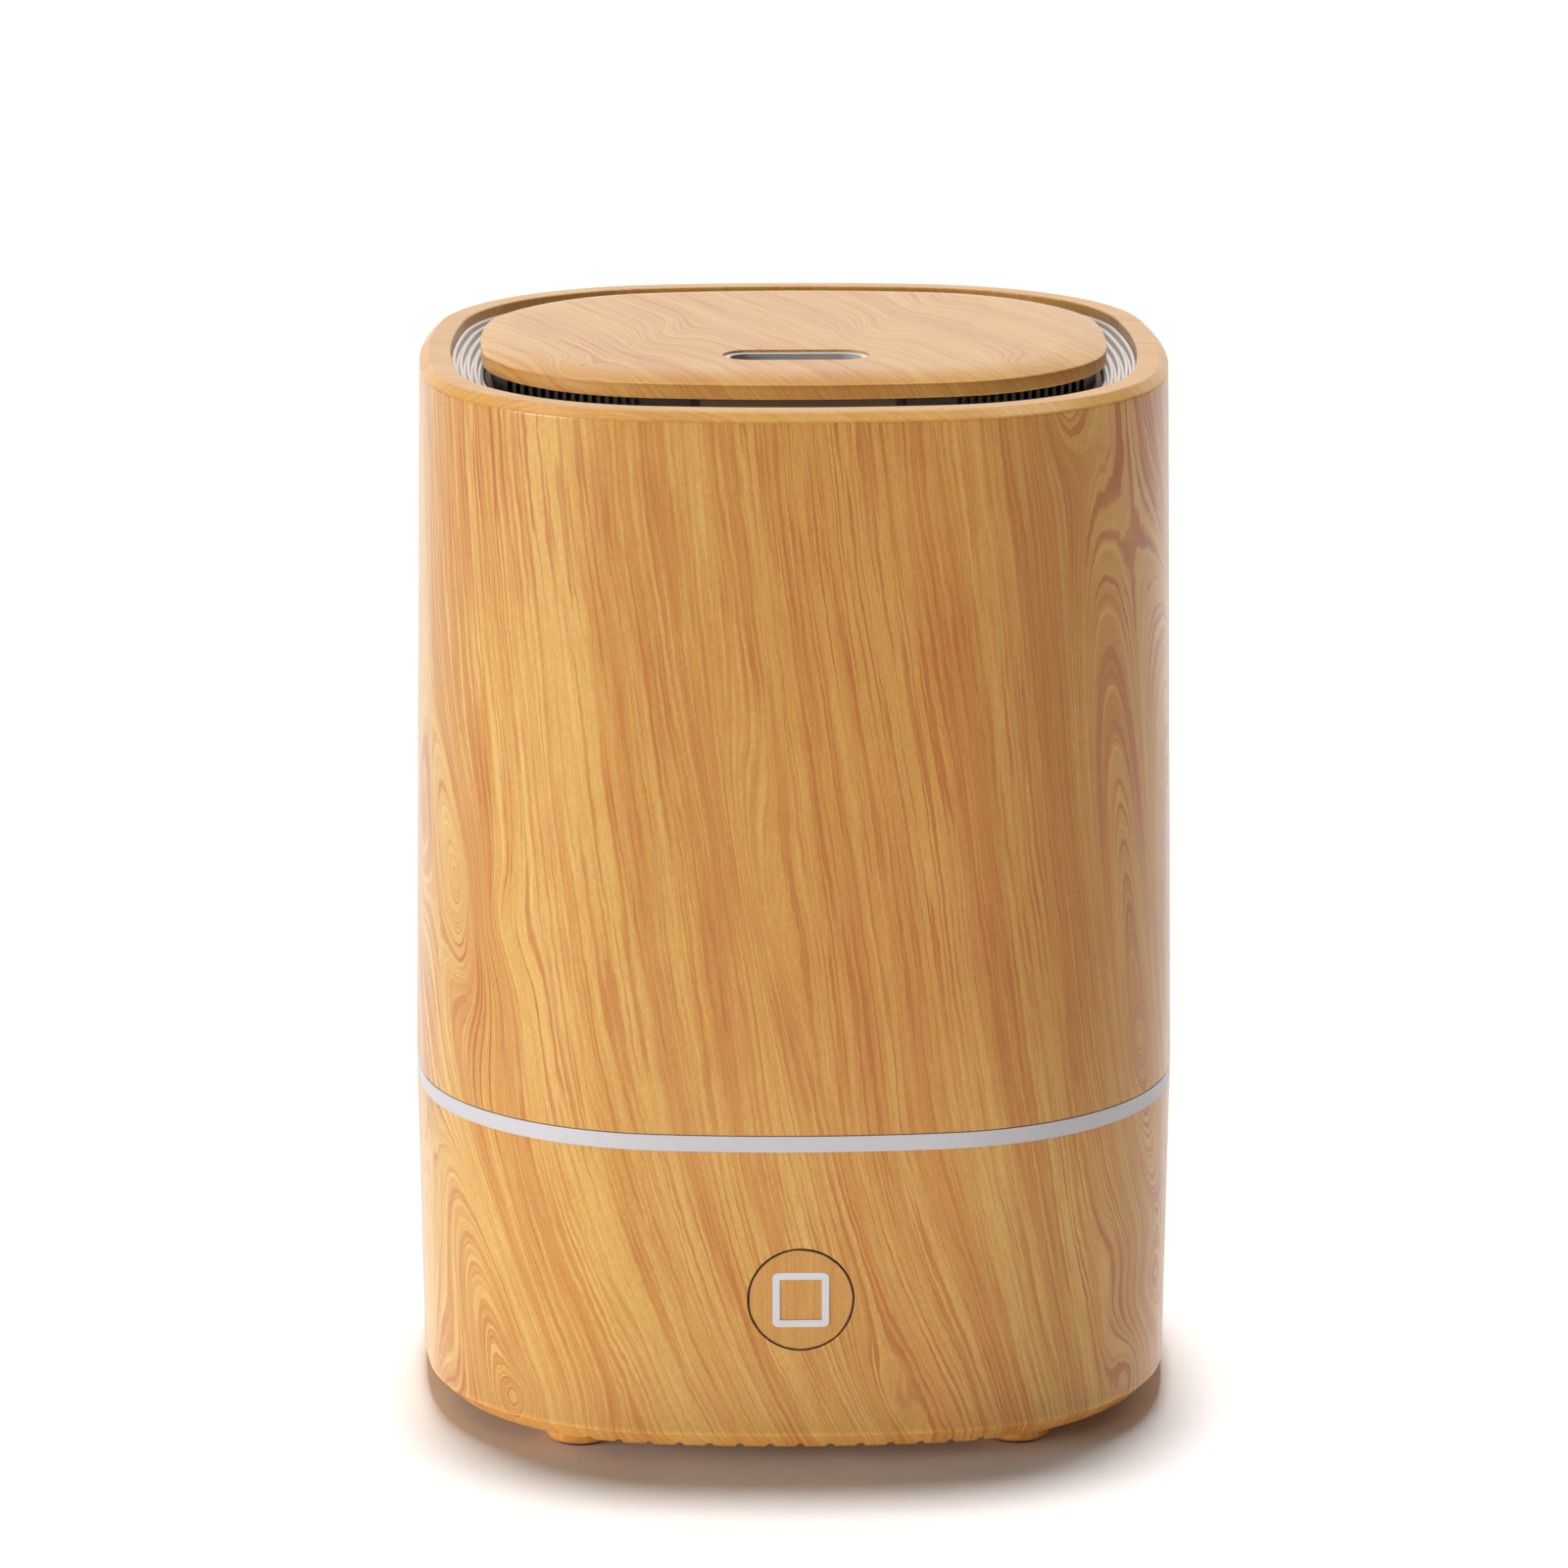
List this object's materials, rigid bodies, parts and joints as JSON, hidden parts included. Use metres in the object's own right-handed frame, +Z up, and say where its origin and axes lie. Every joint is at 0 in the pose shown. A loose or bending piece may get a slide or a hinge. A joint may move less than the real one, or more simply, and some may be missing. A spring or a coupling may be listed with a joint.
{
  "type": "essential oil diffuser",
  "caption": "Rounded-square ultrasonic oil diffuser with a lift-off upper cover, a removable mist lid over a ribbed recess, a light ring and a push button.",
  "frame": {"origin": "on the standing surface, under the centre of the body", "axes": "+Z up, the button faces -Y, the power inlet faces +Y"},
  "size_m": [0.12, 0.12, 0.1673],
  "materials": {
    "wood": "satin light wood grain",
    "button_wood": "satin fine straight grain",
    "rubber": "matt",
    "steel": "zinc plated",
    "diffuser_white": "translucent opal",
    "tank_white": "smooth moulded",
    "trim_grey": "satin moulded",
    "collar_dark": "satin moulded",
    "liner_white": "satin moulded",
    "inner_grey": "matt moulded",
    "silicone": "soft translucent",
    "icon_grey": "satin",
    "ceramic_disc": "bare metal plate",
    "circuit_board": "solder mask",
    "black_plastic": "moulded",
    "aluminium": "anodised",
    "copper": "enamelled wire",
    "led": "clear",
    "contact_metal": "plated"
  },
  "bodies": {
    "base": {"air_plenum": "tank_white", "base_shell": "wood", "board_screw_front": "steel", "board_screw_rear": "steel", "bottom_plate": "wood", "bottom_screw_front_left": "steel", "bottom_screw_front_right": "steel", "bottom_screw_rear_left": "steel", "bottom_screw_rear_right": "steel", "capacitor": "aluminium", "control_chip": "black_plastic", "duct_cap": "tank_white", "fan_housing": "black_plastic", "fan_screw_left": "steel", "fan_screw_right": "steel", "fan_stator": "black_plastic", "foot_front_left": "wood", "foot_front_right": "wood", "foot_pad_front_left": "rubber", "foot_pad_front_right": "rubber", "foot_pad_rear_left": "rubber", "foot_pad_rear_right": "rubber", "foot_rear_left": "wood", "foot_rear_right": "wood", "heatsink": "aluminium", "inductor": "copper", "jack_board": "circuit_board", "jack_pin": "contact_metal", "led_board": "circuit_board", "led_front": "led", "led_left": "led", "led_rear": "led", "led_right": "led", "light_ring": "diffuser_white", "main_board": "circuit_board", "power_jack": "black_plastic", "power_transistor": "black_plastic", "retainer_screw_left": "steel", "retainer_screw_right": "steel", "switch_board": "circuit_board", "switch_screw_left": "steel", "switch_screw_right": "steel", "tact_switch": "black_plastic", "transducer_disc": "ceramic_disc", "transducer_gasket": "silicone", "transducer_retainer": "steel", "water_tank": "tank_white"},
    "cover": {"upper_cover": "wood", "recess_trim": "trim_grey", "vent_collar": "collar_dark", "mist_duct": "tank_white"},
    "lid": {"mist_lid": "wood", "slot_liner": "liner_white", "lid_insert": "inner_grey", "lid_gasket": "silicone"},
    "button": {"button_cap": "button_wood", "button_icon": "icon_grey", "switch_plunger": "black_plastic"},
    "fan": {"fan_impeller": "black_plastic"}
  },
  "joints": [
    {"name": "cover_lift", "type": "slide", "parent": "base", "child": "cover", "axis": [0, 0, 1], "range_m": [0, 0.062]},
    {"name": "lid_lift", "type": "slide", "parent": "cover", "child": "lid", "axis": [0, 0, 1], "range_m": [0, 0.045]},
    {"name": "button_press", "type": "slide", "parent": "base", "child": "button", "axis": [0, 1, 0], "range_m": [0, 0.0007], "stiffness_N_per_m": 600},
    {"name": "fan_spin", "type": "hinge", "parent": "base", "child": "fan", "pos_m": [-0.026, 0.014, 0.0112], "axis": [0, 0, 1], "continuous": true}
  ]
}
